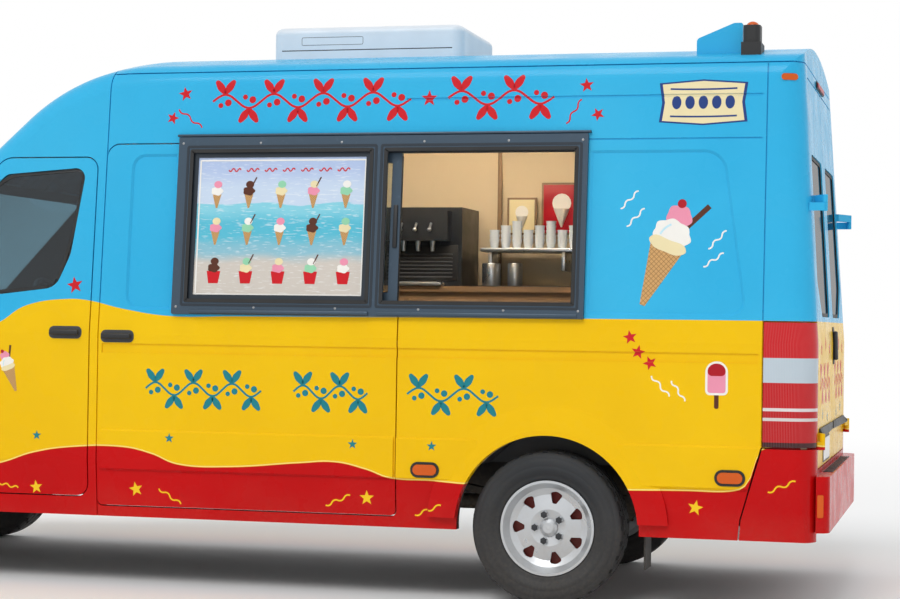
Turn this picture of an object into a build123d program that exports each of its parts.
from build123d import *
import math
import os

os.makedirs("parts", exist_ok=True)

# Frame: forward is -X, the left (serving) side is -Y, up is +Z, and the ground is z = 0.
# Lengths are in millimetres.

# Overall layout
WHEELBASE = 3665.0
FRONT_OVERHANG = 1004.0
REAR_OVERHANG = 1257.0
HALF_WIDTH = 982.0
SILL_Z = 330.0
WAIST_Z = 1200.0
ROOF_Z = 2600.0
LENGTH = FRONT_OVERHANG + WHEELBASE + REAR_OVERHANG
FRONT_X = -LENGTH / 2
REAR_X = LENGTH / 2
FRONT_AXLE_X = FRONT_X + FRONT_OVERHANG
REAR_AXLE_X = REAR_X - REAR_OVERHANG

# Body section and walls
TUMBLEHOME = 0.09
CROWN_R = 3200.0
SHOULDER_R = 120.0
WALL = 60.0
TUCK_Z = 600.0
SILL_TUCK = 25.0
SKIN = 36.0
SHUT_GAP = 6.0
SEAT_GAP = 0.3
GROOVE_W = 6.0
GROOVE_DEPTH = 8.0
CROWN_AXIS_Z = ROOF_Z - CROWN_R

# Windscreen plane and front cap of the roof, on the centre line
SCREEN_BASE_X = -2157.0
SCREEN_BASE_Z = 1310.0
SCREEN_SLOPE = 0.869
CAP_R = 1000.0
SCREEN_END_X = SCREEN_BASE_X - 420.0

# Rear face: upright below the waist, leaning forward above it
REAR_FACE_X = REAR_X - 58.0
REAR_LEAN = 0.064
REAR_CORNER_R = 110.0

# Nose: crowned about its own low axis, narrowing to the front
NOSE_AXIS_Z = -1500.0
BONNET_SLOPE = 0.343
BELT_Z = 1278.0
NOSE_CORNER_R = 260.0
NOSE_FRONT_R = 2600.0
NOSE_TAPER_R = 1500.0
NOSE_TIP_X = FRONT_X - 79.6
NOSE_SIDE_X = FRONT_X + 148.0
NOSE_SIDE_W = HALF_WIDTH - 70.0
NOSE_TAPER_X = -2150.0
BUMPER_TOP_Z = 660.0
GRILLE_FOOT_X = FRONT_X + 22.0
GRILLE_TOP_X = FRONT_X + 150.0
GRILLE_TOP_Z = 1075.0
BONNET_LIP_R = 90.0
DOOR_FRONT_X = -1560.0

# Seams between panels, along the vehicle
PILLAR_X = -489.0
SIDE_DOOR_REAR_X = 999.0
REAR_SEAM_X = REAR_X - 293.0
ROOF_SEAM_Z = ROOF_Z - 140.0
SIDE_DOOR_TOP_Z = 2112.0
SIDE_DOOR_FOOT_Z = 384.0

# Wheels
TYRE_R = 350.0
TYRE_W = 235.0
RIM_R = 216.0
HALF_TRACK = 855.0
AXLE_Z = TYRE_R
ARCH_R = 422.0
FLARE_R = 556.0
FLARE_T = 14.5
FLARE_LAND = 22.0
FLARE_SUNK = 8.0
ARCH_IN_W = 560.0

# Floor
FLOOR_Z = 660.0
FLOOR_T = 36.0
CAB_FLOOR_Z = 700.0
FIREWALL_X = -2040.0


# Reach of the cutting blocks past the body
FAR = REAR_X + 237.0
WIDE = HALF_WIDTH + 218.0


def box(x0, x1, y0, y1, z0, z1):
    """Axis-aligned block between two corners."""
    centre = ((x0 + x1) / 2, (y0 + y1) / 2, (z0 + z1) / 2)
    return Pos(*centre) * Box(abs(x1 - x0), abs(y1 - y0), abs(z1 - z0))


def outline(points, radius):
    """Closed wire through the points, with rounded corners where a radius is given."""
    if radius:
        return FilletPolyline(*points, radius=radius, close=True)
    return Polyline(*points, close=True)


def grown(face, grow):
    """The face with its edge moved outwards, or inwards where the step is negative."""
    return offset(face, amount=grow, kind=Kind.INTERSECTION) if grow else face


def side_prism(points, y0, y1, radius=0, grow=0):
    """Prism of an (x, z) outline, from y0 to y1."""
    face = grown(make_face(outline(points, radius)), grow)
    return extrude(Plane.XZ.offset(-y1) * face, amount=y1 - y0, dir=(0, -1, 0))


def front_prism(points, x0, x1, radius=0, grow=0):
    """Prism of a (y, z) outline, from x0 to x1."""
    face = grown(make_face(outline(points, radius)), grow)
    return extrude(Plane.YZ.offset(x0) * face, amount=x1 - x0, dir=(1, 0, 0))


def plan_prism(points, z0, z1, radius=0):
    """Prism of an (x, y) outline, from z0 to z1."""
    face = make_face(Plane.XY.offset(z0) * outline(points, radius))
    return extrude(face, amount=z1 - z0, dir=(0, 0, 1))


def cross_cylinder(x, z, radius, y0, y1):
    """Cylinder whose axis runs across the vehicle."""
    return Pos(x, (y0 + y1) / 2, z) * Rot(90, 0, 0) * Cylinder(radius, abs(y1 - y0))


def both_sides(shape):
    """The shape and its mirror image about the centre plane."""
    return shape + mirror(shape, about=Plane.XZ)


def largest(shape, count=1):
    """The biggest solids of a shape, without the slivers that a cut leaves."""
    return Part() + sorted(shape.solids(), key=lambda solid: -solid.volume)[:count]


def save(name, shape):
    """Writes one node."""
    solids = shape.solids()
    print(name, len(solids), round(sum(s.volume for s in solids) / 1e6, 2), flush=True)
    export_step(shape if len(solids) > 1 else solids[0], f"parts/{name}.step")
    return shape


def side_width(z):
    """Half width of the flat side at a height."""
    return HALF_WIDTH - TUMBLEHOME * max(0.0, z - WAIST_Z)


def screen_z(x):
    """Height of the windscreen plane on the centre line."""
    return SCREEN_BASE_Z + SCREEN_SLOPE * (x - SCREEN_BASE_X)


def screen_x(z):
    """Place of the windscreen plane on the centre line, along the vehicle."""
    return SCREEN_BASE_X + (z - SCREEN_BASE_Z) / SCREEN_SLOPE


def rear_x(z):
    """Place of the rear face at a height."""
    return REAR_FACE_X - REAR_LEAN * max(0.0, z - WAIST_Z)


def spun(face, axis_z):
    """Solid of revolution about a lengthwise axis, its seam turned down out of the way."""
    axis = Axis((0, 0, axis_z), (1, 0, 0))
    return revolve(face, axis, 360).rotate(axis, 180)


def body_form(inset, foot_z):
    """Solid of cab and load space, moved inwards by an inset, down to a foot."""
    roof = ROOF_Z - inset
    slope = math.atan(SCREEN_SLOPE)
    shift = inset / math.sin(slope)
    end_x = REAR_X + 80
    points = [
        (SCREEN_END_X + shift, CROWN_AXIS_Z),
        (SCREEN_END_X + shift, screen_z(SCREEN_END_X)),
        (screen_x(roof) + shift, roof),
        (end_x, roof),
        (end_x, CROWN_AXIS_Z),
    ]
    face = make_face(Plane.XZ * outline(points, [0, 0, CAP_R - inset, 0, 0]))
    turned = spun(face, CROWN_AXIS_Z)
    foot_w = side_width(WAIST_Z) + TUMBLEHOME * (WAIST_Z - CROWN_AXIS_Z) - inset
    top_z = ROOF_Z + 100
    top_w = side_width(top_z) - inset
    wedge = front_prism(
        [(-foot_w, CROWN_AXIS_Z), (foot_w, CROWN_AXIS_Z), (top_w, top_z), (-top_w, top_z)],
        SCREEN_END_X - 50,
        end_x + 50,
    )
    sharp = turned & wedge
    shoulders = [
        edge
        for edge in sharp.edges()
        if abs(abs((edge @ 0.5).Y) - shoulder_width((edge @ 0.5).Z, inset)) < 1.5
        and (edge @ 0.5).X < end_x - 1
        and (edge @ 0.5).Z > SILL_Z
    ]
    rounded = fillet(shoulders, SHOULDER_R - inset)
    low_w = HALF_WIDTH - inset
    foot_w = low_w - SILL_TUCK
    section = [(-foot_w, foot_z), (-low_w, TUCK_Z), (-low_w, ROOF_Z), (low_w, ROOF_Z)]
    section += [(low_w, TUCK_Z), (foot_w, foot_z)]
    return rounded & front_prism(section, SCREEN_END_X, end_x) & rear_cutter(inset)


def shoulder_width(z, inset):
    """Half width of the leaning side plane, also where it runs on below the waist."""
    return HALF_WIDTH - TUMBLEHOME * (z - WAIST_Z) - inset


def rear_cutter(inset):
    """Everything in front of the rear face, with its rounded, leaning corners."""
    rear = REAR_FACE_X - inset
    width = HALF_WIDTH - inset
    points = [(SCREEN_END_X, 0), (rear, 0), (rear, width), (SCREEN_END_X, width)]
    half = make_face(Plane.XY * outline(points, [0, 0, REAR_CORNER_R - inset, 0]))
    low = extrude(half, amount=WAIST_Z, dir=(0, 0, 1))
    rise = Vector(-REAR_LEAN, -TUMBLEHOME, 1) * (ROOF_Z - WAIST_Z)
    high = extrude(Pos(0, 0, WAIST_Z) * half, amount=rise.length, dir=rise.normalized())
    return both_sides(low + high)


def nose_form(inset, foot_z):
    """Solid of the nose with its bonnet, moved inwards by an inset, down to a foot."""
    end_x = DOOR_FRONT_X - SHUT_GAP
    points = [
        (end_x, NOSE_AXIS_Z),
        (FRONT_X - 60, NOSE_AXIS_Z),
        (FRONT_X - 60 + inset, BUMPER_TOP_Z - 60),
        (GRILLE_FOOT_X + inset, BUMPER_TOP_Z),
        (GRILLE_TOP_X + inset, GRILLE_TOP_Z - inset),
        (end_x, bonnet_z(end_x) - inset),
    ]
    radii = [0, 0, 0, 0, BONNET_LIP_R, 0]
    face = make_face(Plane.XZ * outline(points, radii))
    turned = spun(face, NOSE_AXIS_Z)
    side = HALF_WIDTH - inset
    plan = [(end_x, -side), (NOSE_TAPER_X, -side), (NOSE_SIDE_X, -NOSE_SIDE_W + inset)]
    plan += [(NOSE_TIP_X + inset, 0), (NOSE_SIDE_X, NOSE_SIDE_W - inset)]
    plan += [(NOSE_TAPER_X, side), (end_x, side)]
    corner = NOSE_CORNER_R - inset
    radii = [0, NOSE_TAPER_R, corner, NOSE_FRONT_R, corner, NOSE_TAPER_R, 0]
    footprint = plan_prism(plan, foot_z, ROOF_Z, radii)
    low_w = HALF_WIDTH - inset
    foot_w = low_w - SILL_TUCK
    top_w = side_width(ROOF_Z) - inset
    section = [(-foot_w, foot_z - 1), (-foot_w, SILL_Z), (-low_w, TUCK_Z), (-low_w, WAIST_Z)]
    section += [(-top_w, ROOF_Z), (top_w, ROOF_Z), (low_w, WAIST_Z), (low_w, TUCK_Z)]
    section += [(foot_w, SILL_Z), (foot_w, foot_z - 1)]
    return turned & footprint & front_prism(section, FRONT_X - 100, end_x)


def bonnet_z(x):
    """Height of the bonnet on the centre line."""
    return GRILLE_TOP_Z + BONNET_SLOPE * (x - GRILLE_TOP_X)


# Cab doors: upright front edge, a corner cut round the wheel arch and a leaning pillar edge
DOOR_REAR_X = PILLAR_X - 49.0
DOOR_FOOT_X = FRONT_AXLE_X + ARCH_R + 42.0
DOOR_FOOT_Z = 424.0
DOOR_TOP_Z = 2050.0
DOOR_KINK_LOW_Z = 700.0
DOOR_KINK_HIGH_Z = 830.0
PILLAR_FOOT_X = -1740.0
PILLAR_FOOT_Z = 1345.0
PILLAR_SLOPE = 0.983
DOOR_LAYER = 20.0
DOOR_STEP = 12.0


def pillar_z(x):
    """Height of the front pillar's rear edge, seen from the side."""
    return PILLAR_FOOT_Z + PILLAR_SLOPE * (x - PILLAR_FOOT_X)


def pillar_x(z):
    """Place of the front pillar's rear edge at a height."""
    return PILLAR_FOOT_X + (z - PILLAR_FOOT_Z) / PILLAR_SLOPE


DOOR_OUTLINE = [
    (DOOR_FOOT_X, DOOR_FOOT_Z),
    (DOOR_FOOT_X, DOOR_KINK_LOW_Z),
    (DOOR_FRONT_X, DOOR_KINK_HIGH_Z),
    (DOOR_FRONT_X, pillar_z(DOOR_FRONT_X)),
    (pillar_x(DOOR_TOP_Z), DOOR_TOP_Z),
    (DOOR_REAR_X, DOOR_TOP_Z),
    (DOOR_REAR_X, DOOR_FOOT_Z),
]
DOOR_RADII = [30, 80, 80, 60, 90, 60, 60]
WINDOW_SILL_Z = 1330.0
WINDOW_EDGE = 70.0
WINDOW_TOP_EDGE = 78.0
WINDOW_FRONT_X = DOOR_FRONT_X + WINDOW_EDGE
DOOR_WINDOW = [
    (WINDOW_FRONT_X, WINDOW_SILL_Z),
    (WINDOW_FRONT_X, pillar_z(WINDOW_FRONT_X) - WINDOW_TOP_EDGE),
    (pillar_x(DOOR_TOP_Z) + 8, DOOR_TOP_Z - WINDOW_TOP_EDGE),
    (DOOR_REAR_X - 54, DOOR_TOP_Z - 46),
    (DOOR_REAR_X - 116, WINDOW_SILL_Z + 250),
    (DOOR_REAR_X - 186, WINDOW_SILL_Z + 90),
    (DOOR_REAR_X - 476, WINDOW_SILL_Z + 55),
    (DOOR_REAR_X - 662, WINDOW_SILL_Z + 48),
    (DOOR_REAR_X - 762, WINDOW_SILL_Z - 8),
]
DOOR_WINDOW_RADII = [30, 40, 60, 50, 180, 90, 200, 60, 60]
GLASS_T = 6.0
GLASS_SET = 9.0

body_out = body_form(0, SILL_Z)
body_in = body_form(WALL, SILL_Z - 60)
body_mid = body_form(DOOR_LAYER, SILL_Z - 30)
glass_out = body_form(GLASS_SET, SILL_Z - 10)
glass_in = body_form(GLASS_SET + GLASS_T, SILL_Z - 20)
wall = body_out - body_in
wall_outer = body_out - body_mid
wall_inner = (body_mid - body_in) & box(FRONT_X, REAR_X, -WIDE, WIDE, SILL_Z, ROOF_Z)
glass_layer = (glass_out - glass_in) & box(FRONT_X, REAR_X, -WIDE, WIDE, SILL_Z, ROOF_Z)

seam = SEAT_GAP / 2
groove_slabs = box(PILLAR_X - GROOVE_W / 2, PILLAR_X + GROOVE_W / 2, -WIDE, WIDE, 0, ROOF_Z + 10)
groove_slabs += box(
    REAR_SEAM_X - GROOVE_W / 2, REAR_SEAM_X + GROOVE_W / 2, -WIDE, WIDE, 0, ROOF_SEAM_Z
)
groove_slabs += box(
    PILLAR_X, REAR_X, -WIDE, WIDE, ROOF_SEAM_Z - GROOVE_W / 2, ROOF_SEAM_Z + GROOVE_W / 2
)
grooves = (body_out - body_form(GROOVE_DEPTH, SILL_Z - 10)) & groove_slabs

nose_out = nose_form(0, SILL_Z - 30)
nose_in = nose_form(SKIN, SILL_Z - 80)
nose_wall = nose_out - nose_in
nose_grown = nose_form(-SHUT_GAP, SILL_Z - 80)

half_gap = SHUT_GAP / 2


def door_leaf(make_prism):
    """Hinged panel of full wall thickness: outer layer with a stepped-back inner body."""
    return (wall_outer & make_prism(0)) + (wall_inner & make_prism(-DOOR_STEP))


def arch_cut(axle_x):
    """Wheel-arch opening through both sides."""
    return cross_cylinder(axle_x, AXLE_Z, ARCH_R, -WIDE, WIDE) - box(
        -FAR, FAR, -ARCH_IN_W, ARCH_IN_W, 0, ROOF_Z
    )


def flare(axle_x, side):
    """Raised lip round a wheel arch, fading out towards its rim."""
    y = side * HALF_WIDTH
    profile = Plane.XY * Polyline(
        (axle_x + ARCH_R, y - side * FLARE_SUNK),
        (axle_x + ARCH_R, y + side * FLARE_T),
        (axle_x + ARCH_R + FLARE_LAND, y + side * FLARE_T),
        (axle_x + FLARE_R, y),
        (axle_x + FLARE_R, y - side * FLARE_SUNK),
        close=True,
    )
    ring = revolve(Pos(0, 0, AXLE_Z) * make_face(profile), Axis((axle_x, 0, AXLE_Z), (0, 1, 0)), 360)
    return ring & box(-FAR, FAR, -WIDE, WIDE, SILL_Z + 55, ROOF_Z)


# Cab doors with their glass
def cab_door(side):
    """Cab door on one side, with its window cut."""
    near, far = sorted((side * 500, side * WIDE))
    leaf = door_leaf(lambda grow: side_prism(DOOR_OUTLINE, near, far, DOOR_RADII, grow))
    window = side_prism(DOOR_WINDOW, near, far, DOOR_WINDOW_RADII)
    return leaf - window, glass_layer & window


for side, name in ((-1, "left"), (1, "right")):
    door, glass = cab_door(side)
    save(f"cab_door_{name}", door)
    save(f"door_glass_{name}", glass)
door_hole = side_prism(DOOR_OUTLINE, -WIDE, WIDE, DOOR_RADII, SHUT_GAP)

# Cab shell: front cap of the roof, pillars, sills, with the windscreen and door openings
SCREEN_FOOT_W = HALF_WIDTH - 182.0
SCREEN_TOP_W = HALF_WIDTH - 292.0
SCREEN_FOOT_Z = SCREEN_BASE_Z + 58.0
SCREEN_TOP_Z = 1962.0
SCREEN_R = 70.0
SCREEN_REACH_X = -1050.0
SCREEN_OUTLINE = [(-SCREEN_FOOT_W, SCREEN_FOOT_Z), (SCREEN_FOOT_W, SCREEN_FOOT_Z)]
SCREEN_OUTLINE += [(SCREEN_TOP_W, SCREEN_TOP_Z), (-SCREEN_TOP_W, SCREEN_TOP_Z)]
screen_prism = front_prism(SCREEN_OUTLINE, SCREEN_END_X, SCREEN_REACH_X, SCREEN_R)
behind_nose = box(DOOR_FRONT_X - SHUT_GAP, FAR, -WIDE, WIDE, 0, ROOF_Z + 10)
cab_zone = box(-FAR, PILLAR_X - seam, -WIDE, WIDE, SILL_Z, ROOF_Z + 10)
cab_shell = (wall & cab_zone) - nose_grown - door_hole - screen_prism
cab_shell = cab_shell - arch_cut(FRONT_AXLE_X)
cab_shell = largest(cab_shell - grooves)
save("cab_shell", cab_shell)
save("windscreen", glass_layer & screen_prism)

# Cab floor: firewall, scuttle, toe board over the wheels, step and floor
CAB_IN_W = HALF_WIDTH - WALL
TOE_Z = AXLE_Z + ARCH_R + 18.0
CAB_STEP_X = DOOR_FRONT_X + 30.0
FIREWALL_T = 30.0
FIREWALL_W = CAB_IN_W - 40.0
FIREWALL_TOP_Z = BELT_Z - 40.0
cab_floor = box(FIREWALL_X, FIREWALL_X + FIREWALL_T, -FIREWALL_W, FIREWALL_W, TOE_Z, FIREWALL_TOP_Z)
cab_floor += box(FIREWALL_X, CAB_STEP_X, -FIREWALL_W, FIREWALL_W, TOE_Z, TOE_Z + FLOOR_T)
cab_floor += box(
    CAB_STEP_X, CAB_STEP_X + FIREWALL_T, -CAB_IN_W, CAB_IN_W, CAB_FLOOR_Z, TOE_Z + FLOOR_T
)
cab_floor += box(CAB_STEP_X, PILLAR_X, -CAB_IN_W, CAB_IN_W, CAB_FLOOR_Z - FLOOR_T, CAB_FLOOR_Z)
save("cab_floor", largest(cab_floor - cab_shell))

# Nose: bonnet, grille, headlamps, bumper, fenders and scuttle
BONNET_REAR_X = -2320.0
BONNET_T = 24.0
BONNET_FRONT_Z = 992.0
COWL_W = HALF_WIDTH - 242.0
GRILLE_W = HALF_WIDTH - 622.0
BONNET_SQUARE = 80.0
BONNET_TOP_Z = 1500.0
GRILLE_REAR_X = -2700.0
BONNET_EDGE = [(BONNET_REAR_X, COWL_W), (BONNET_REAR_X - BONNET_SQUARE, COWL_W)]
BONNET_EDGE += [(GRILLE_REAR_X, COWL_W - 100), (-FAR, COWL_W - 180)]
LAMP_OUTLINE = [(GRILLE_W - 8, 700), (COWL_W - 140, 690), (WIDE - 100, 790), (WIDE - 100, 1010)]
LAMP_OUTLINE += [(COWL_W - 40, 985), (GRILLE_W - 8, 860)]
GRILLE_SHOULDER_Z = 862.0
GRILLE_EDGE_Z = 986.0
GRILLE_OUTLINE = [(-GRILLE_W, BUMPER_TOP_Z), (GRILLE_W, BUMPER_TOP_Z), (GRILLE_W, GRILLE_SHOULDER_Z)]
GRILLE_OUTLINE += [(COWL_W - 80, GRILLE_EDGE_Z), (80 - COWL_W, GRILLE_EDGE_Z)]
GRILLE_OUTLINE += [(-GRILLE_W, GRILLE_SHOULDER_Z)]
BUMPER_REAR_X = FRONT_AXLE_X - ARCH_R - 30.0
LAMP_REAR_X = -2660.0
BONNET_PIN_R = 5.0
BONNET_PIN_X = BONNET_REAR_X - 10.0
BONNET_PIN_DROP = 30.0
BONNET_PIN_Z = bonnet_z(BONNET_PIN_X) - BONNET_T - BONNET_PIN_DROP
BONNET_PIN_Y = 250.0
KNUCKLE_HALF = 20.0
EAR_T = 8.0


def bonnet_plan(gap):
    """Plan outline of the bonnet, widened by a gap."""
    edge = [(x + (gap if x == BONNET_REAR_X else 0), y + gap) for x, y in BONNET_EDGE]
    return [(x, -y) for x, y in edge] + [(x, y) for x, y in reversed(edge)]


def bonnet_knuckles(radius, half_length):
    """Cylinders on the bonnet's hinge line, one at each hinge."""
    barrel = cross_cylinder(
        BONNET_PIN_X, BONNET_PIN_Z, radius, BONNET_PIN_Y - half_length, BONNET_PIN_Y + half_length
    )
    return both_sides(barrel)


bonnet_zone = plan_prism(bonnet_plan(0), BONNET_FRONT_Z, BONNET_TOP_Z)
bonnet_hole = plan_prism(bonnet_plan(SHUT_GAP), BONNET_FRONT_Z - SHUT_GAP, BONNET_TOP_Z)
lamp_zone = both_sides(front_prism(LAMP_OUTLINE, -FAR, LAMP_REAR_X, 30))
grille_zone = front_prism(GRILLE_OUTLINE, -FAR, GRILLE_REAR_X)
bumper_zone = box(-FAR, BUMPER_REAR_X, -WIDE, WIDE, 0, BUMPER_TOP_Z)
bonnet = (nose_out - nose_form(BONNET_T, SILL_Z - 60)) & bonnet_zone
hinge_arm = box(
    BONNET_PIN_X - 10,
    BONNET_PIN_X + 8,
    BONNET_PIN_Y - KNUCKLE_HALF,
    BONNET_PIN_Y + KNUCKLE_HALF,
    BONNET_PIN_Z,
    BONNET_PIN_Z + BONNET_PIN_DROP,
)
bonnet = bonnet + bonnet_knuckles(12, KNUCKLE_HALF) + both_sides(hinge_arm)
bonnet = bonnet - bonnet_knuckles(BONNET_PIN_R + 0.05, 60)
save("bonnet", bonnet)
front_panel = nose_wall - bonnet_hole
save("headlamps", front_panel & lamp_zone)
grille = (front_panel & grille_zone) - lamp_zone
GRILLE_SLOTS = 5
SLOT_H = 26.0
SLOT_PITCH = 50.0
SLOT_FOOT_Z = 700.0
for step in range(GRILLE_SLOTS):
    low_z = SLOT_FOOT_Z + step * SLOT_PITCH
    reach = GRILLE_W - 40 if low_z + SLOT_H < GRILLE_SHOULDER_Z else GRILLE_W + 30
    slot = front_prism(
        [(-reach, low_z), (reach, low_z), (reach, low_z + SLOT_H), (-reach, low_z + SLOT_H)],
        -FAR,
        GRILLE_REAR_X + 100,
        SLOT_H / 2 - 1,
    )
    grille = grille - slot
save("grille", grille)
bumper = (front_panel & bumper_zone) - arch_cut(FRONT_AXLE_X)
save("front_bumper", bumper)
cabin_fill = body_form(-SHUT_GAP, SILL_Z - 200) & box(
    -FAR, FAR, -HALF_WIDTH + SKIN, HALF_WIDTH - SKIN, 0, ROOF_Z
)
LEDGE_X = SCREEN_BASE_X - 48.0
TROUGH_X = BONNET_REAR_X - 28.0
TROUGH_W = 580.0
TROUGH_Z = 1100.0
TROUGH_T = 24.0
COWL_END_X = -1700.0
COWL_FOOT_Z = 1000.0
ledge = nose_wall & box(LEDGE_X, COWL_END_X, -COWL_W, COWL_W, COWL_FOOT_Z, BONNET_TOP_Z)
trough = box(TROUGH_X, LEDGE_X + TROUGH_T, -TROUGH_W, TROUGH_W, TROUGH_Z, TROUGH_Z + TROUGH_T)
trough += box(LEDGE_X + 4, LEDGE_X + TROUGH_T, -TROUGH_W, TROUGH_W, TROUGH_Z, 1330) & nose_in
scuttle = ledge - body_out + trough
BRACKET_W0 = 480.0
BRACKET_W1 = 540.0
brackets = box(
    LEDGE_X + TROUGH_T - 1,
    FIREWALL_X - SEAT_GAP,
    BRACKET_W0,
    BRACKET_W1,
    TROUGH_Z,
    TROUGH_Z + TROUGH_T,
)
scuttle = scuttle + both_sides(brackets)
ears = Part()
for step in (-KNUCKLE_HALF - SEAT_GAP - EAR_T / 2, KNUCKLE_HALF + SEAT_GAP + EAR_T / 2):
    ear_y = BONNET_PIN_Y + step
    ears += cross_cylinder(BONNET_PIN_X, BONNET_PIN_Z, 9, ear_y - EAR_T / 2, ear_y + EAR_T / 2)
    ears += box(
        BONNET_PIN_X - 9, BONNET_PIN_X + 9, ear_y - EAR_T / 2, ear_y + EAR_T / 2, TROUGH_Z + 5, BONNET_PIN_Z
    )
ears = both_sides(ears) + bonnet_knuckles(BONNET_PIN_R, KNUCKLE_HALF + EAR_T)
scuttle = largest(scuttle + ears)
save("scuttle", scuttle)
fender = front_panel & box(-FAR, DOOR_FRONT_X - SHUT_GAP, 300, WIDE, 0, ROOF_Z)
fender = fender - grille_zone - lamp_zone - bumper_zone
cowl_hole = box(
    BONNET_REAR_X, COWL_END_X, -COWL_W - SHUT_GAP, COWL_W + SHUT_GAP, COWL_FOOT_Z, BONNET_TOP_Z
)
fender = fender - cowl_hole
fender = largest(fender - cabin_fill - arch_cut(FRONT_AXLE_X))
flare_zone = box(BUMPER_REAR_X, DOOR_FRONT_X - SHUT_GAP, -WIDE, WIDE, 0, ROOF_Z)
fender += flare(FRONT_AXLE_X, 1) & flare_zone
save("fenders", Compound([fender, mirror(fender, about=Plane.XZ)]))

# Load body: side panels, roof and rear frame
SEAM_LOW_Z = 420.0
WING_TOP_Z = 738.0
LAMP_FOOT_Z = 747.0
LAMP_TOP_Z = 1296.0
LAMP_INNER_W = HALF_WIDTH - 109.0
REAR_LAYER = 30.0
DOOR_W = HALF_WIDTH - 137.0
REAR_DOOR_FOOT_Z = 650.0
REAR_DOOR_TOP_Z = 2400.0
HATCH_X0 = -113.0
HATCH_X1 = 1869.0
HATCH_Z0 = 1298.0
HATCH_Z1 = 2140.0
HATCH_LIP = 18.0

# Leaning plane of the left side
LEAN = math.hypot(1, TUMBLEHOME)
hatch_plane = Plane(
    origin=(0, -side_width(WAIST_Z), WAIST_Z), x_dir=(1, 0, 0), z_dir=(0, -1, TUMBLEHOME)
)


def hatch_block(x0, x1, z0, z1, depth0, depth1, radius=0):
    """Block on the hatch plane, between two depths measured outwards from the skin."""
    s0 = (z0 - WAIST_Z) * LEAN
    s1 = (z1 - WAIST_Z) * LEAN
    points = [(x0, s0), (x1, s0), (x1, s1), (x0, s1)]
    face = make_face(outline(points, radius))
    return hatch_plane * (Pos(0, 0, depth0) * extrude(face, amount=depth1 - depth0, dir=(0, 0, 1)))


RECESS_DEPTH = 10.0
RECESS_DRAFT = 50.0
RECESS_Z0 = 1320.0
RECESS_Z1 = 2066.0
RECESS_X0 = PILLAR_X + 130.0
RECESS_END_X = 2600.0
RECESS_END_TOP_X = 2486.0
LINE_DEPTH = 5.0
SIDE_LINES = [
    (2112.0, 2120.0, -LINE_DEPTH),
    (2306.0, 2318.0, -LINE_DEPTH),
]
BELT_LINE_Z0 = 1112.0
BELT_LINE_Z1 = 1156.0
BELT_LINE_DEPTH = 7.0
STRIP_Z0 = 552.0
STRIP_Z1 = 748.0
STRIP_T = 9.0


def pressing(points, radii):
    """Drafted pocket pressed into the left side's leaning plane."""
    flat = [(x, (z - WAIST_Z) * LEAN) for x, z in points]
    face = grown(make_face(outline(flat, radii)), 1)
    pocket = extrude(Pos(0, 0, 1) * face, amount=RECESS_DEPTH + 1, dir=(0, 0, -1), taper=RECESS_DRAFT)
    return hatch_plane * pocket


def side_lines(x0, x1):
    """Narrow grooves pressed along the left side, and the deeper one at the belt."""
    lines = box(x0, x1, -WIDE, BELT_LINE_DEPTH - HALF_WIDTH, BELT_LINE_Z0, BELT_LINE_Z1)
    for z0, z1, depth in SIDE_LINES:
        lines += hatch_block(x0, x1, z0, z1, depth, 40)
    return lines


def rub_strip(x0, x1):
    """Raised moulding with sloping edges, low on the left side."""
    y = -HALF_WIDTH
    points = [(y + 4, STRIP_Z0), (y, STRIP_Z0), (y - STRIP_T, STRIP_Z0 + STRIP_T)]
    points += [(y - STRIP_T, STRIP_Z1 - STRIP_T), (y, STRIP_Z1), (y + 4, STRIP_Z1)]
    return front_prism(points, x0, x1)


SIDE_DOOR_OUTLINE = [
    (PILLAR_X + half_gap, SIDE_DOOR_FOOT_Z),
    (SIDE_DOOR_REAR_X - half_gap, SIDE_DOOR_FOOT_Z),
    (SIDE_DOOR_REAR_X - half_gap, SIDE_DOOR_TOP_Z),
    (PILLAR_X + half_gap, SIDE_DOOR_TOP_Z),
]
SIDE_DOOR_RADII = [25, 25, 60, 60]
SIDE_DOOR_IN_W = 500.0
side_door_zone = side_prism(SIDE_DOOR_OUTLINE, -WIDE, -SIDE_DOOR_IN_W, SIDE_DOOR_RADII)
side_door_hole = side_prism(SIDE_DOOR_OUTLINE, -WIDE, -SIDE_DOOR_IN_W, SIDE_DOOR_RADII, SHUT_GAP)
hatch_hole = hatch_block(
    HATCH_X0 + HATCH_LIP,
    HATCH_X1 - HATCH_LIP,
    HATCH_Z0 + HATCH_LIP,
    HATCH_Z1 - HATCH_LIP,
    -200,
    200,
)
WING_FOOT_Z = 200.0
WING_SEAM = [(2560, WING_FOOT_Z), (2581, SEAM_LOW_Z), (2673, WING_TOP_Z)]


def wing_prism(gap):
    """Region of the rear bumper's wings, widened by a gap to the panels."""
    top = WING_TOP_Z + gap
    seam_points = [(x - gap, top if z == WING_TOP_Z else z) for x, z in WING_SEAM]
    return side_prism([*seam_points, (FAR, top), (FAR, WING_FOOT_Z)], -WIDE, WIDE)


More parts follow.
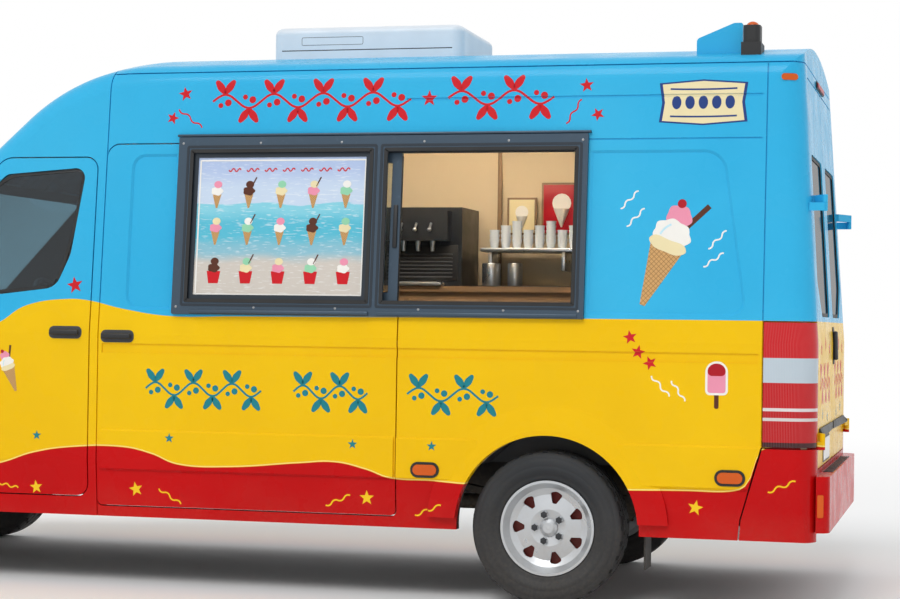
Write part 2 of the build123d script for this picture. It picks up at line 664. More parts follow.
wing_zone = wing_prism(0)
wing_hole = wing_prism(SHUT_GAP)
panel_zone = box(PILLAR_X + seam, REAR_SEAM_X - seam, -WIDE, WIDE, 0, ROOF_SEAM_Z - seam)
left_zone = panel_zone & box(-FAR, FAR, -WIDE, -200, 0, ROOF_Z)
right_zone = panel_zone & box(-FAR, FAR, 200, WIDE, 0, ROOF_Z)
left_side = (wall & left_zone) - side_door_hole - hatch_hole - wing_hole - arch_cut(REAR_AXLE_X)
REAR_RECESS = [(HATCH_X1 + 8, RECESS_Z0), (RECESS_END_X, RECESS_Z0), (RECESS_END_TOP_X, RECESS_Z1)]
REAR_RECESS += [(HATCH_X1 + 8, RECESS_Z1)]
FRONT_RECESS = [(RECESS_X0, RECESS_Z0), (HATCH_X0 - 8, RECESS_Z0), (HATCH_X0 - 8, RECESS_Z1)]
FRONT_RECESS += [(RECESS_X0, RECESS_Z1)]
LINE_END_X = REAR_FACE_X - REAR_CORNER_R - 8
STRIP_REACH = 324.0
lines = side_lines(SIDE_DOOR_REAR_X + half_gap, REAR_SEAM_X - 20)
left_side = left_side - grooves - lines - pressing(REAR_RECESS, [12, 70, 110, 12])
left_side += flare(REAR_AXLE_X, -1)
arch_cutter = arch_cut(REAR_AXLE_X)
rear_strips = rub_strip(REAR_AXLE_X + STRIP_REACH, REAR_SEAM_X) - wing_hole
left_side += rub_strip(SIDE_DOOR_REAR_X + half_gap, REAR_AXLE_X - STRIP_REACH) - arch_cutter
left_side += rear_strips - arch_cutter
save("left_side", left_side)
RIGHT_RECESS_R = 60.0
RIGHT_RECESSES = [
    (RECESS_X0, 920.0, 920.0),
    (1080.0, 1840.0, 1840.0),
    (1930.0, RECESS_END_X, RECESS_END_TOP_X),
]
right_cuts = side_lines(PILLAR_X + 20, REAR_SEAM_X - 20)
for x0, x1, top_x1 in RIGHT_RECESSES:
    recess = [(x0, RECESS_Z0), (x1, RECESS_Z0), (top_x1, RECESS_Z1), (x0, RECESS_Z1)]
    right_cuts += pressing(recess, RIGHT_RECESS_R)
right_side = (wall & right_zone) - wing_hole - arch_cut(REAR_AXLE_X) - grooves
right_side = right_side - mirror(right_cuts, about=Plane.XZ)
right_strips = rub_strip(PILLAR_X + 20, REAR_AXLE_X - STRIP_REACH) + rear_strips
right_side += mirror(right_strips - arch_cutter, about=Plane.XZ)
save("right_side", right_side + flare(REAR_AXLE_X, 1))
side_door = (wall & side_door_zone) - hatch_hole
belt = box(
    PILLAR_X + 20, SIDE_DOOR_REAR_X, -WIDE, BELT_LINE_DEPTH - HALF_WIDTH, BELT_LINE_Z0, BELT_LINE_Z1
)
side_door = side_door - belt - pressing(FRONT_RECESS, [70, 12, 12, 70])
side_door += rub_strip(PILLAR_X + 20, SIDE_DOOR_REAR_X - half_gap - 8)
save("side_door", side_door)
roof_zone = box(PILLAR_X + seam, FAR, -WIDE, WIDE, ROOF_SEAM_Z + seam, ROOF_Z + 10)
roof = (wall & roof_zone) - grooves
save("roof", roof)

rear_zone = box(REAR_SEAM_X + seam, FAR, -WIDE, WIDE, 0, ROOF_SEAM_Z - seam)


def rear_door_outline(side):
    """Outline of one rear door, its outer edge leaning in with the body side."""
    low, top = REAR_DOOR_FOOT_Z, REAR_DOOR_TOP_Z
    top_w = DOOR_W - TUMBLEHOME * (top - WAIST_Z)
    points = [(half_gap, low), (DOOR_W, low), (DOOR_W, WAIST_Z), (top_w, top), (half_gap, top)]
    return [(side * y, z) for y, z in points]


REAR_DOOR_RADII = [20, 20, 0, 50, 20]
low_left, low_right = rear_door_outline(-1), rear_door_outline(1)
rear_opening = [*low_left[1:4], *reversed(low_right[1:4])]
rear_hole = front_prism(rear_opening, 2500, FAR, [20, 0, 50, 50, 0, 20], SHUT_GAP)
skin_layer = body_out - body_form(REAR_LAYER, SILL_Z - 40)
corner_outer = skin_layer & rear_zone
lamp_box = box(REAR_SEAM_X, FAR, -WIDE, WIDE, LAMP_FOOT_Z - 6, LAMP_TOP_Z + 6)
lamp_fill = box(REAR_SEAM_X + 4, FAR, -WIDE, WIDE, LAMP_FOOT_Z, LAMP_TOP_Z) - rear_hole
corner_zone = both_sides(box(2500, FAR, LAMP_INNER_W, WIDE, 0, ROOF_Z))
corner_inner = both_sides(box(2500, FAR, LAMP_INNER_W + 2, WIDE, 0, ROOF_Z))
rear_frame = (wall & rear_zone) - rear_hole - (corner_outer & lamp_box & corner_zone)
rear_frame = rear_frame - (corner_outer & wing_hole & corner_zone) - grooves
rear_frame = rear_frame - box(2500, FAR, -LAMP_INNER_W, LAMP_INNER_W, 0, 500)
HINGE_X = REAR_FACE_X + 20.0
HINGE_W = DOOR_W + 5.0
HINGE_HEIGHTS = [770.0, 1830.0]
HINGE_HALF = 36.0
HINGE_R = 12.0
HINGE_PIN_R = 6.0


def hinge_barrel(z, radius, low, high):
    """Cylinder on the left rear door's hinge line."""
    return Pos(HINGE_X, -HINGE_W, z + (low + high) / 2) * Cylinder(radius, high - low)


def frame_hinge(z):
    """Fixed half of one rear hinge, with its pin."""
    arm = box(rear_x(z) - 8, HINGE_X, -HINGE_W - 18, -HINGE_W - 2, z - HINGE_HALF, z - SEAT_GAP)
    barrel = hinge_barrel(z, HINGE_R, -HINGE_HALF, -SEAT_GAP)
    return arm + barrel + hinge_barrel(z, HINGE_PIN_R, -HINGE_HALF, HINGE_HALF)


def door_hinge(z):
    """Moving half of one rear hinge, reaching from the door to the hinge line."""
    face_x = rear_x(z)
    edge = DOOR_W - TUMBLEHOME * max(0.0, z - WAIST_Z)
    points = [(face_x - 8, -edge + 60), (face_x - 8, -edge + 3), (face_x + 8, -edge + 3)]
    points += [(HINGE_X - 4, -HINGE_W - 10), (HINGE_X + 8, -HINGE_W + 6), (face_x + 14, -edge + 60)]
    arm = plan_prism(points, z + SEAT_GAP, z + HINGE_HALF)
    barrel = hinge_barrel(z, HINGE_R, SEAT_GAP, HINGE_HALF)
    return arm + barrel - hinge_barrel(z, HINGE_PIN_R + 0.05, 0, HINGE_HALF + 1)


for z in HINGE_HEIGHTS:
    rear_frame += both_sides(frame_hinge(z))
save("rear_frame", rear_frame)
save("tail_lamps", corner_outer & lamp_fill & corner_inner)
BEAM_TOP_Z = 620.0
BEAM_FOOT_Z = 372.0
wings = skin_layer & wing_zone & corner_inner
beam_plan = [
    (REAR_FACE_X + SEAT_GAP, -HALF_WIDTH + 45),
    (REAR_X, -HALF_WIDTH + 70),
    (REAR_X, HALF_WIDTH - 70),
    (REAR_FACE_X + SEAT_GAP, HALF_WIDTH - 45),
]
beam = plan_prism(beam_plan, BEAM_FOOT_Z, BEAM_TOP_Z, [0, 50, 50, 0])
save("rear_bumper", wings + beam)

# Rear doors with their glass, on hinges outside the rear face
REAR_WINDOW = [(100, 1325), (DOOR_W - 285, 1325), (DOOR_W - 100, 1480)]
REAR_WINDOW += [(DOOR_W - 145, 2060), (100, 2060)]


def rear_door(side):
    """Rear door on one side, with its window cut."""
    points = rear_door_outline(side)
    leaf = door_leaf(lambda grow: front_prism(points, 2600, FAR, REAR_DOOR_RADII, grow))
    window_points = [(side * y, z) for y, z in REAR_WINDOW]
    window = front_prism(window_points, 2600, FAR, 40)
    hinges = Part()
    for z in HINGE_HEIGHTS:
        hinges += door_hinge(z)
    hinges = mirror(hinges, about=Plane.XZ) if side > 0 else hinges
    return leaf - window + hinges, glass_layer & window


for side, name in ((-1, "left"), (1, "right")):
    door, glass = rear_door(side)
    save(f"rear_door_{name}", door)
    save(f"rear_glass_{name}", glass)

# Load floor with boxes over the rear wheels
LOAD_FLOOR_X = REAR_FACE_X - WALL
WHEEL_BOX_R = ARCH_R + 20.0
WHEEL_BOX_IN_W = 640.0
WHEEL_BOX_T = 12.0


def wheel_box(side):
    """Inner arch over a rear wheel: half drum open to the outside."""
    inner, outer = WHEEL_BOX_IN_W, CAB_IN_W
    drum = cross_cylinder(REAR_AXLE_X, AXLE_Z, WHEEL_BOX_R, side * inner, side * outer)
    hollow = cross_cylinder(
        REAR_AXLE_X, AXLE_Z, WHEEL_BOX_R - WHEEL_BOX_T, side * (inner + WHEEL_BOX_T), side * (outer + 5)
    )
    return drum, hollow


load_floor = box(PILLAR_X + 1, LOAD_FLOOR_X, -CAB_IN_W, CAB_IN_W, FLOOR_Z - FLOOR_T, FLOOR_Z)
above_floor = box(-FAR, FAR, -WIDE, WIDE, FLOOR_Z - FLOOR_T, ROOF_Z)
for side in (-1, 1):
    drum, hollow = wheel_box(side)
    load_floor = load_floor + (drum & above_floor) - hollow
save("load_floor", load_floor & body_in)

# Underframe: two long rails joined by cross members
RAIL_IN_W = 380.0
RAIL_OUT_W = 455.0
RAIL_FOOT_Z = 470.0
RAIL_TOP_Z = FLOOR_Z - FLOOR_T
CROSS_MEMBERS_X = [-2760.0, -1330.0, -480.0, 1160.0, 2240.0, 2760.0]
OUTRIGGERS_X = [-1330.0, -480.0, 420.0, 1160.0, 2240.0]
RAIL_FRONT_X = -2800.0
MEMBER_HALF = 35.0
MEMBER_FOOT_Z = RAIL_FOOT_Z + 20.0
ARM_HALF = 30.0
ARM_H = 60.0
TOWBAR_X = LOAD_FLOOR_X - 245.0
TOWBAR_PITCH = 120.0
TOWBAR_HOLE_R = 6.5
rail = box(RAIL_FRONT_X, LOAD_FLOOR_X - 20, RAIL_IN_W, RAIL_OUT_W, RAIL_FOOT_Z, RAIL_TOP_Z)
for offset in (-TOWBAR_PITCH / 2, TOWBAR_PITCH / 2):
    hole = Pos(TOWBAR_X + offset, (RAIL_IN_W + RAIL_OUT_W) / 2, RAIL_FOOT_Z + 50)
    rail -= hole * Cylinder(TOWBAR_HOLE_R, 400)
beams = [rail, mirror(rail, about=Plane.XZ)]
member_w = RAIL_IN_W - SEAT_GAP
for x in CROSS_MEMBERS_X:
    ends = (x - MEMBER_HALF, x + MEMBER_HALF)
    beams.append(box(*ends, -member_w, member_w, MEMBER_FOOT_Z, RAIL_TOP_Z))
save("underframe", Compound(beams))
arms = []
for x in OUTRIGGERS_X:
    for side in (-1, 1):
        ends = sorted((side * (RAIL_OUT_W + SEAT_GAP), side * (CAB_IN_W - 18)))
        arms.append(box(x - ARM_HALF, x + ARM_HALF, *ends, RAIL_TOP_Z - ARM_H, RAIL_TOP_Z))
save("outriggers", Compound(arms))

# Serving hatch: frame, fixed pane and sliding sash
FRAME_FACE = 22.0
FRAME_FIT = 2.0
OPEN_X0 = -40.0
OPEN_X1 = 1815.0
OPEN_Z0 = 1366.0
OPEN_Z1 = 2070.0
STILE_X0 = 846.0
STILE_X1 = 921.0
SASH_W = 902.0
SASH_REST_X = 986.0
SASH_TRAVEL = 825.0
SASH_RAIL = 46.0
SASH_OUT = -16.0
SASH_IN = -38.0
flange = hatch_block(HATCH_X0, HATCH_X1, HATCH_Z0, HATCH_Z1, 0, FRAME_FACE, 6)
sleeve = hatch_block(
    HATCH_X0 + HATCH_LIP + FRAME_FIT,
    HATCH_X1 - HATCH_LIP - FRAME_FIT,
    HATCH_Z0 + HATCH_LIP + FRAME_FIT,
    HATCH_Z1 - HATCH_LIP - FRAME_FIT,
    -WALL,
    0,
)
opening_block = hatch_block(OPEN_X0, OPEN_X1, OPEN_Z0, OPEN_Z1, -200, 200)
hatch_frame = flange + sleeve - opening_block
hatch_frame += hatch_block(STILE_X0, STILE_X1, OPEN_Z0, OPEN_Z1, SASH_OUT + 6, FRAME_FACE)
save("hatch_frame", hatch_frame)
save("hatch_pane", hatch_block(OPEN_X0, STILE_X0, OPEN_Z0, OPEN_Z1, -6, 4))
sash_x0 = SASH_REST_X - SASH_W
sash_z0 = OPEN_Z0 + SEAT_GAP
sash_z1 = OPEN_Z1 - 6
sash = hatch_block(sash_x0, SASH_REST_X, sash_z0, sash_z1, SASH_IN, SASH_OUT)
sash_hole = hatch_block(
    sash_x0 + SASH_RAIL,
    SASH_REST_X - SASH_RAIL,
    sash_z0 + SASH_RAIL,
    sash_z1 - SASH_RAIL,
    SASH_IN - 5,
    SASH_OUT + 5,
)
sash_glass = hatch_block(
    sash_x0 + SASH_RAIL,
    SASH_REST_X - SASH_RAIL,
    sash_z0 + SASH_RAIL,
    sash_z1 - SASH_RAIL,
    (SASH_IN + SASH_OUT) / 2 - 3,
    (SASH_IN + SASH_OUT) / 2 + 3,
)
save("hatch_sash", sash - sash_hole)
save("sash_glass", sash_glass)

# Serving room: counter under the hatch, worktop and machines along the far side
COUNTER_TOP_Z = 1340.0
COUNTER_X0 = 60.0
COUNTER_X1 = 2380.0
COUNTER_IN_W = 470.0
COUNTER_OUT_W = 890.0
BENCH_TOP_Z = 1470.0
wheel_clear = both_sides(
    cross_cylinder(REAR_AXLE_X, AXLE_Z, WHEEL_BOX_R + 2, WHEEL_BOX_IN_W - 5, CAB_IN_W + 5)
)
counter = box(COUNTER_X0, COUNTER_X1, -COUNTER_OUT_W, -COUNTER_IN_W, FLOOR_Z, COUNTER_TOP_Z - 30)
counter += box(
    COUNTER_X0 - 20,
    COUNTER_X1 + 20,
    -COUNTER_OUT_W - 12,
    -COUNTER_IN_W + 25,
    COUNTER_TOP_Z - 30,
    COUNTER_TOP_Z,
)
save("serving_counter", counter - wheel_clear)
BENCH_X0 = -300.0
BENCH_X1 = 2500.0
BENCH_IN_W = 420.0
BENCH_OUT_W = 885.0
bench = box(BENCH_X0, BENCH_X1, BENCH_IN_W, BENCH_OUT_W, FLOOR_Z, BENCH_TOP_Z - 30)
bench += box(BENCH_X0 - 15, BENCH_X1 + 15, BENCH_IN_W - 15, BENCH_OUT_W, BENCH_TOP_Z - 30, BENCH_TOP_Z)
save("back_bench", bench - wheel_clear)
MACHINE_X = 700.0
MACHINE_HALF = 230.0
MACHINE_IN_W = 480.0
MACHINE_OUT_W = 846.0
MACHINE_H = 420.0
SPOUT_HALF = 170.0
SPOUT_REACH = 80.0
SPOUT_FOOT = 240.0
SPOUT_TOP = 400.0
machine = box(
    MACHINE_X - MACHINE_HALF,
    MACHINE_X + MACHINE_HALF,
    MACHINE_IN_W,
    MACHINE_OUT_W,
    BENCH_TOP_Z,
    BENCH_TOP_Z + MACHINE_H,
)
machine += box(
    MACHINE_X - SPOUT_HALF,
    MACHINE_X + SPOUT_HALF,
    MACHINE_IN_W - SPOUT_REACH,
    MACHINE_IN_W,
    BENCH_TOP_Z + SPOUT_FOOT,
    BENCH_TOP_Z + SPOUT_TOP,
)
save("ice_cream_machine", machine)

# Cab fittings
SEAT_X = -900.0
SEAT_Y = 460.0
SEAT_BASE_HALF = 200.0
SEAT_HALF = 250.0
SEAT_BACK_HALF = 235.0
SEAT_BASE_Z = CAB_FLOOR_Z + 300.0
CUSHION_T = 130.0
SEAT_BACK_H = 640.0
SEAT_BACK_T = 120.0
SEAT_BACK_TOP_T = 80.0
SEAT_BACK_LEAN = 160.0
DASH_X0 = -1990.0
DASH_X1 = -1560.0
DASH_W = 860.0
DASH_FOOT_Z = TOE_Z + FLOOR_T + 150.0
DASH_TOP_Z = 1340.0
WHEEL_RIM_R = 190.0
WHEEL_GRIP_R = 15.0


def seat(y):
    """Cushion and back of one seat on its box."""
    base = box(SEAT_X - 250, SEAT_X + 200, y - SEAT_BASE_HALF, y + SEAT_BASE_HALF, CAB_FLOOR_Z, SEAT_BASE_Z)
    cushion_top = SEAT_BASE_Z + CUSHION_T
    cushion = box(SEAT_X - 270, SEAT_X + 230, y - SEAT_HALF, y + SEAT_HALF, SEAT_BASE_Z, cushion_top)
    foot_x = SEAT_X + 150
    top_x = foot_x + SEAT_BACK_LEAN
    back_points = [
        (foot_x, cushion_top),
        (foot_x + SEAT_BACK_T, cushion_top),
        (top_x + SEAT_BACK_TOP_T, cushion_top + SEAT_BACK_H - 10),
        (top_x, cushion_top + SEAT_BACK_H),
    ]
    return base + cushion + side_prism(back_points, y - SEAT_BACK_HALF, y + SEAT_BACK_HALF)


save("seats", seat(-SEAT_Y) + seat(SEAT_Y))
dash_points = [
    (DASH_X0, DASH_FOOT_Z),
    (DASH_X1, DASH_FOOT_Z),
    (DASH_X1, DASH_TOP_Z - 100),
    (DASH_X1 - 60, DASH_TOP_Z),
    (DASH_X0 + 130, DASH_TOP_Z - 10),
    (DASH_X0, DASH_TOP_Z - 115),
]
dashboard = side_prism(dash_points, -DASH_W, DASH_W)
column_axis = Vector(1, 0, 0.75).normalized()
WHEEL_CENTRE = Vector(-1370, SEAT_Y, 1330)
column_plane = Plane(origin=WHEEL_CENTRE, x_dir=(0, 1, 0), z_dir=column_axis)
COLUMN_R = 10.0
SLEEVE_R = 34.0
SLEEVE_L = 200.0
COLUMN_FIT = 0.05
dashboard += column_plane * (Pos(0, 0, -150) * Cylinder(SLEEVE_R, SLEEVE_L))
dashboard -= column_plane * (Pos(0, 0, -150) * Cylinder(COLUMN_R + COLUMN_FIT, SLEEVE_L + 60))
save("dashboard", dashboard & body_form(WALL + SEAT_GAP, 0))
SPOKE_W = 40.0
SPOKE_T = 14.0
rim_ring = Torus(WHEEL_RIM_R, WHEEL_GRIP_R)
spokes = Box(2 * WHEEL_RIM_R - 10, SPOKE_W, SPOKE_T)
spokes += Pos(0, -WHEEL_RIM_R / 2, 0) * Box(SPOKE_W, WHEEL_RIM_R, SPOKE_T)
spokes += Pos(0, 0, -15) * Cylinder(45, 44)
steering_wheel = column_plane * (rim_ring + spokes + Pos(0, 0, -110) * Cylinder(COLUMN_R, 160))
save("steering_wheel", steering_wheel)

# Roof equipment
UNIT_X0 = 146.0
UNIT_X1 = 1126.0
UNIT_W = 345.0
UNIT_TOP_Z = ROOF_Z + 142.0
UNIT_CORNER_R = 60.0
UNIT_TOP_R = 35.0
unit = box(UNIT_X0, UNIT_X1, -UNIT_W, UNIT_W, ROOF_Z - 60, UNIT_TOP_Z)
unit = fillet(unit.edges().filter_by(Axis.Z), UNIT_CORNER_R)
unit = fillet(unit.faces().sort_by(Axis.Z)[-1].edges(), UNIT_TOP_R)
save("roof_unit", unit - body_out)
SIGN_X0 = 2326.0
SIGN_X1 = 2536.0
SIGN_TOP_Z = ROOF_Z + 60.0
SIGN_W = HALF_WIDTH - 282.0
sign_points = [(SIGN_X0, ROOF_Z - 120), (SIGN_X1, ROOF_Z - 120), (SIGN_X1, SIGN_TOP_Z)]
sign_points += [(SIGN_X1 - 40, SIGN_TOP_Z), (SIGN_X0, ROOF_Z - 10)]
sign = side_prism(sign_points, -SIGN_W, SIGN_W, [0, 0, 10, 20, 20])
save("roof_sign", sign - body_out)
LAMP_X = SIGN_X1 + 47.0
LAMP_Y = -715.0
LAMP_Z = ROOF_Z - 40.0
LAMP_FOOT_HALF = 45.0
LAMP_FOOT_W = 75.0
LAMP_CORNER_R = 25.0
lamp_foot = box(
    LAMP_X - LAMP_FOOT_HALF,
    LAMP_X + LAMP_FOOT_HALF,
    LAMP_Y - LAMP_FOOT_W,
    LAMP_Y + LAMP_FOOT_W,
    LAMP_Z - 120,
    LAMP_Z,
)
lamp_head = Pos(LAMP_X - 1, LAMP_Y, LAMP_Z) * Box(78, 110, 160)
lamp_head = fillet(lamp_head.edges().filter_by(Axis.Z), LAMP_CORNER_R)
save("roof_lamp", lamp_foot + lamp_head - body_out)

# Side marker lamps
MARKER_SEAT_W = HALF_WIDTH + STRIP_T + SEAT_GAP
MARKERS = [(REAR_AXLE_X - 565, 600), (REAR_AXLE_X + 828, 606)]
MARKER_L = 112.0
MARKER_H = 48.0
MARKER_T = 8.0
markers = Part()
for x, z in MARKERS:
    oval = Plane.XZ.offset(MARKER_SEAT_W) * (Pos(x, z) * SlotOverall(MARKER_L, MARKER_H))
    markers += extrude(oval, amount=MARKER_T)
save("side_markers", both_sides(markers))

# Mirrors on the cab doors
MIRROR_X = DOOR_FRONT_X + 38.0
MIRROR_Z = 1600.0
MIRROR_OUT = 130.0
MIRROR_D = 90.0
MIRROR_W = 190.0
MIRROR_H = 360.0
MIRROR_R = 28.0
MIRROR_ARM_HALF = 22.0
MIRROR_ARMS = [(-160.0, -130.0), (-100.0, -75.0)]


def mirror_head(side):
    """Door mirror with its two arms."""
    y = side * (HALF_WIDTH + MIRROR_OUT)
    head = Pos(MIRROR_X, y, MIRROR_Z) * Box(MIRROR_D, MIRROR_W, MIRROR_H)
    head = fillet(head.edges(), MIRROR_R)
    arm_x = (MIRROR_X - MIRROR_ARM_HALF, MIRROR_X + MIRROR_ARM_HALF)
    arm_y = sorted((side * (HALF_WIDTH - WALL), y))
    arms = Part()
    for low, high in MIRROR_ARMS:
        arms += box(*arm_x, *arm_y, MIRROR_Z + low, MIRROR_Z + high)
    return head + (arms - body_out)


for side, name in ((-1, "left"), (1, "right")):
    save(f"mirror_{name}", mirror_head(side))

# Power unit, driveline and suspension
ENGINE_X0 = -2640.0
ENGINE_X1 = -2080.0
ENGINE_W = 300.0
ENGINE_FOOT_Z = 420.0
ENGINE_TOP_Z = 960.0
ENGINE_R = 30.0
engine = box(ENGINE_X0, ENGINE_X1, -ENGINE_W, ENGINE_W, ENGINE_FOOT_Z, ENGINE_TOP_Z)
mounts = box(
    ENGINE_X0 + 240,
    ENGINE_X0 + 320,
    ENGINE_W - 10,
    RAIL_IN_W - SEAT_GAP,
    ENGINE_FOOT_Z + 70,
    ENGINE_FOOT_Z + 140,
)
save("engine_block", fillet(engine.edges(), ENGINE_R) + both_sides(mounts))
AXLE_TUBE_R = 48.0
STUB_R = 33.0
STUB_END_W = HALF_TRACK - 5.0
DRUM_R = 150.0
DRUM_IN_W = 700.0
DRUM_OUT_W = 770.0
DIFF_R = 165.0
SHAFT_R = 38.0
SHAFT_FRONT_X = -1500.0
SHAFT_RISE = 30.0
GEARBOX_X = -1700.0
axle = cross_cylinder(REAR_AXLE_X, AXLE_Z, AXLE_TUBE_R, -DRUM_IN_W, DRUM_IN_W)
axle += Pos(REAR_AXLE_X, 0, AXLE_Z) * Sphere(DIFF_R)
for side in (-1, 1):
    axle += cross_cylinder(REAR_AXLE_X, AXLE_Z, DRUM_R, side * DRUM_IN_W, side * DRUM_OUT_W)
    axle += cross_cylinder(REAR_AXLE_X, AXLE_Z, STUB_R, side * DRUM_OUT_W, side * STUB_END_W)
shaft_mid = Pos((SHAFT_FRONT_X + REAR_AXLE_X) / 2, 0, AXLE_Z + SHAFT_RISE)
axle += shaft_mid * Rot(0, 90, 0) * Cylinder(SHAFT_R, REAR_AXLE_X - SHAFT_FRONT_X)
axle += Pos(GEARBOX_X, 0, AXLE_Z + 2 * SHAFT_RISE) * Box(620, 260, 240)
save("rear_axle", axle)
SPRING_Y = 585.0
SPRING_SPAN = 640.0
SPRING_HALF = 35.0
SPRING_PAD = 80.0
SPRING_END_Z = 520.0
SPRING_END_T = 25.0
SPRING_T = 45.0
SHACKLE_HALF = 30.0
SHACKLE_H = 80.0
pad_z = AXLE_Z + AXLE_TUBE_R
spring_points = [
    (REAR_AXLE_X - SPRING_SPAN, SPRING_END_Z),
    (REAR_AXLE_X - SPRING_PAD, pad_z),
    (REAR_AXLE_X + SPRING_PAD, pad_z),
    (REAR_AXLE_X + SPRING_SPAN, SPRING_END_Z),
    (REAR_AXLE_X + SPRING_SPAN, SPRING_END_Z + SPRING_END_T),
    (REAR_AXLE_X + SPRING_PAD, pad_z + SPRING_T),
    (REAR_AXLE_X - SPRING_PAD, pad_z + SPRING_T),
    (REAR_AXLE_X - SPRING_SPAN, SPRING_END_Z + SPRING_END_T),
]
spring = side_prism(spring_points, SPRING_Y - SPRING_HALF, SPRING_Y + SPRING_HALF)
for end in (-1, 1):
    x = REAR_AXLE_X + end * SPRING_SPAN
    spring += box(
        x - SHACKLE_HALF,
        x + SHACKLE_HALF,
        RAIL_OUT_W,
        SPRING_Y + SPRING_HALF,
        SPRING_END_Z,
        SPRING_END_Z + SHACKLE_H,
    )
save("leaf_springs", both_sides(spring))

# Front suspension and steered knuckles
KINGPIN_W = 700.0
PIN_R = 14.0
PIN_FIT = 0.05
ARM_LOW_Z = 215.0
ARM_HIGH_Z = 485.0
WISHBONE_T = 30.0
WISHBONE_R = 45.0
POST_IN_W = RAIL_OUT_W + SEAT_GAP
POST_OUT_W = POST_IN_W + 26
BEAM_HALF = 90.0
arm_low = ARM_LOW_Z - WISHBONE_T / 2
arm_x = (FRONT_AXLE_X - WISHBONE_R, FRONT_AXLE_X + WISHBONE_R)
cross_beam = box(
    FRONT_AXLE_X - BEAM_HALF, FRONT_AXLE_X + BEAM_HALF, -POST_OUT_W, POST_OUT_W, arm_low, arm_low + 80
)
arms = Part()
for z in (ARM_LOW_Z, ARM_HIGH_Z):
    arm = box(*arm_x, POST_IN_W, KINGPIN_W, z - WISHBONE_T / 2, z + WISHBONE_T / 2)
    arm += Pos(FRONT_AXLE_X, KINGPIN_W, z) * Cylinder(WISHBONE_R, WISHBONE_T)
    arm -= Pos(FRONT_AXLE_X, KINGPIN_W, z) * Cylinder(PIN_R + PIN_FIT, 2 * WISHBONE_T)
    arms += arm
post = box(*arm_x, POST_IN_W, POST_OUT_W, arm_low, ARM_HIGH_Z + WISHBONE_T / 2)
save("front_subframe", cross_beam + both_sides(arms + post))


def knuckle(side):
    """Steered upright with its pins and the stub for the wheel."""
    y = side * KINGPIN_W
    height = ARM_HIGH_Z - ARM_LOW_Z - WISHBONE_T - 2 * SEAT_GAP
    upright = Pos(FRONT_AXLE_X, y, (ARM_HIGH_Z + ARM_LOW_Z) / 2) * Cylinder(34, height)
    pins = Pos(FRONT_AXLE_X, y, (ARM_HIGH_Z + ARM_LOW_Z) / 2) * Cylinder(
        PIN_R, ARM_HIGH_Z - ARM_LOW_Z + WISHBONE_T
    )
    stub = cross_cylinder(FRONT_AXLE_X, AXLE_Z, STUB_R, y, side * STUB_END_W)
    plate = cross_cylinder(FRONT_AXLE_X, AXLE_Z, 120, side * (DRUM_OUT_W - 20), side * DRUM_OUT_W)
    return upright + pins + stub + plate


for side, name in ((-1, "left"), (1, "right")):
    save(f"knuckle_{name}", knuckle(side))

# Wheels
RIM_SEAT_R = 203.0
RIM_BARREL_R = 190.0
RIM_W = 178.0


def wheel_profile(points, radius=0):
    """Ring about the wheel's axis from (offset along it, radius) points."""
    face = make_face(Plane.YZ * outline(points, radius))
    return revolve(face, Axis((0, 0, 0), (0, 1, 0)), 360)


half = TYRE_W / 2
half_rim = RIM_W / 2
tyre = wheel_profile(
    [
        (-half_rim + 8, RIM_SEAT_R),
        (half_rim - 8, RIM_SEAT_R),
        (half_rim - 8, RIM_R + 1),
        (half_rim + 4, 224),
        (half, 280),
        (half - 14, 338),
        (half - 40, TYRE_R),
        (-half + 40, TYRE_R),
        (-half + 14, 338),
        (-half, 280),
        (-half_rim - 4, 224),
        (-half_rim + 8, RIM_R + 1),
    ]
)
rim = wheel_profile(
    [
        (-half_rim + 8, RIM_SEAT_R),
        (half_rim - 8, RIM_SEAT_R),
        (half_rim - 8, RIM_R),
        (half_rim + 4, RIM_R),
        (half_rim + 4, 205),
        (half_rim - 16, RIM_BARREL_R),
        (-half_rim + 4, RIM_BARREL_R),
        (-half_rim - 4, RIM_R),
        (-half_rim + 8, RIM_R),
    ]
)
COVER_OUT = 62.0
COVER_T = 9.0
HUB_R = 62.0
SPOKES = 7
WINDOW_R0 = 112.0
WINDOW_R1 = 166.0
NUTS = 5
NUT_R = 16.0
NUT_CIRCLE_R = 62.0
bore = STUB_R + PIN_FIT
cover = wheel_profile(
    [
        (COVER_OUT - 22, 40),
        (COVER_OUT - 12, 40),
        (COVER_OUT - 2, 84),
        (COVER_OUT - 14, 150),
        (COVER_OUT - 2, 180),
        (COVER_OUT + 14, RIM_BARREL_R + 2),
        (COVER_OUT + 4, RIM_BARREL_R + 2),
        (COVER_OUT - 12, 180),
        (COVER_OUT - 24, 150),
        (COVER_OUT - 12, 84),
    ]
)
window_points = [
    (WINDOW_R0, -9),
    (WINDOW_R1 - 8, -30),
    (WINDOW_R1 + 4, 0),
    (WINDOW_R1 - 8, 30),
    (WINDOW_R0, 9),
]
window_face = make_face(Plane.XZ * outline(window_points, [6, 10, 30, 10, 6]))
window = extrude(window_face, amount=200, dir=(0, 1, 0))
for number in range(SPOKES):
    cover -= Rot(0, 360 / SPOKES * number, 0) * window
hub = wheel_profile([(-80, bore), (COVER_OUT - 14, bore), (COVER_OUT - 14, HUB_R), (-80, HUB_R)])
cap = wheel_profile(
    [(COVER_OUT - 16, 0), (COVER_OUT + 10, 0), (COVER_OUT + 8, 24), (COVER_OUT - 4, 40), (COVER_OUT - 16, 44)]
)
plate = wheel_profile([(-12, bore), (-4, bore), (-4, RIM_BARREL_R + 4), (-12, RIM_BARREL_R + 4)])
nuts = Part()
for number in range(NUTS):
    nut = Pos(NUT_CIRCLE_R, COVER_OUT - 4, 0) * Rot(90, 0, 0) * Cylinder(NUT_R, 26)
    nuts += Rot(0, 360 / NUTS * number, 0) * nut
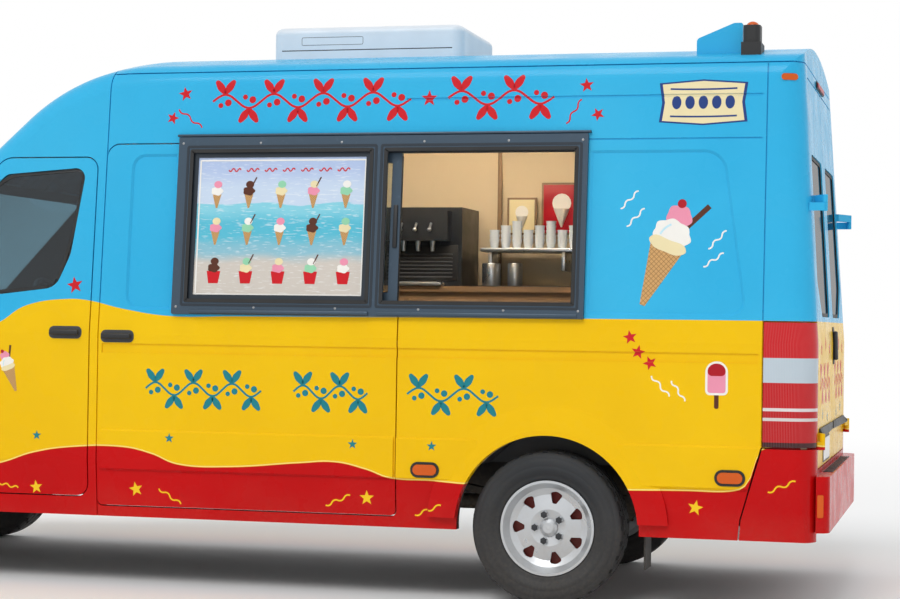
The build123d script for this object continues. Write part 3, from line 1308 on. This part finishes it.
slot_face = make_face(Plane.XZ * SlotOverall(52, 22))
slot = extrude(slot_face, amount=100, both=True)
for number in range(SPOKES):
    plate -= Rot(0, 360 / SPOKES * number, 0) * (Pos(130, 0, 0) * slot)
rim_whole = rim + cover + cap + hub + plate + nuts
WHEELS = [
    ("front_left", FRONT_AXLE_X, -1),
    ("front_right", FRONT_AXLE_X, 1),
    ("rear_left", REAR_AXLE_X, -1),
    ("rear_right", REAR_AXLE_X, 1),
]
for name, x, side in WHEELS:
    place = Pos(x, side * HALF_TRACK, AXLE_Z)
    turn = Rot(0, 0, 180) if side < 0 else Rot(0, 0, 0)
    save(f"tyre_{name}", place * (turn * tyre))
    save(f"rim_{name}", place * (turn * rim_whole))

# Mud flaps behind the rear wheels and exhaust
FLAP_X = REAR_AXLE_X + 436.0
FLAP_T = 8.0
FLAP_IN_W = 735.0
FLAP_OUT_W = CAB_IN_W - SILL_TUCK - SEAT_GAP
FLAP_FOOT_Z = 175.0
flap = box(FLAP_X, FLAP_X + FLAP_T, FLAP_IN_W, FLAP_OUT_W, FLAP_FOOT_Z, RAIL_TOP_Z - SEAT_GAP)
save("mud_flaps", both_sides(flap))
EXHAUST_Y = 250.0
EXHAUST_Z = RAIL_FOOT_Z - 70.0
PIPE_R = 30.0
PIPE_FRONT_X = CROSS_MEMBERS_X[1] - 20.0
PIPE_REAR_X = CROSS_MEMBERS_X[3] + 190.0
MUFFLER_R = 90.0
MUFFLER_L = 700.0
MUFFLER_X = 300.0
HANGER_HALF = 10.0
pipe_mid = Pos((PIPE_FRONT_X + PIPE_REAR_X) / 2, EXHAUST_Y, EXHAUST_Z)
exhaust = pipe_mid * Rot(0, 90, 0) * Cylinder(PIPE_R, PIPE_REAR_X - PIPE_FRONT_X)
exhaust += Pos(MUFFLER_X, EXHAUST_Y, EXHAUST_Z) * Rot(0, 90, 0) * Cylinder(MUFFLER_R, MUFFLER_L)
for x in CROSS_MEMBERS_X[1:4]:
    exhaust += box(
        x - HANGER_HALF,
        x + HANGER_HALF,
        EXHAUST_Y - HANGER_HALF,
        EXHAUST_Y + HANGER_HALF,
        EXHAUST_Z,
        MEMBER_FOOT_Z - SEAT_GAP,
    )
save("exhaust", exhaust)
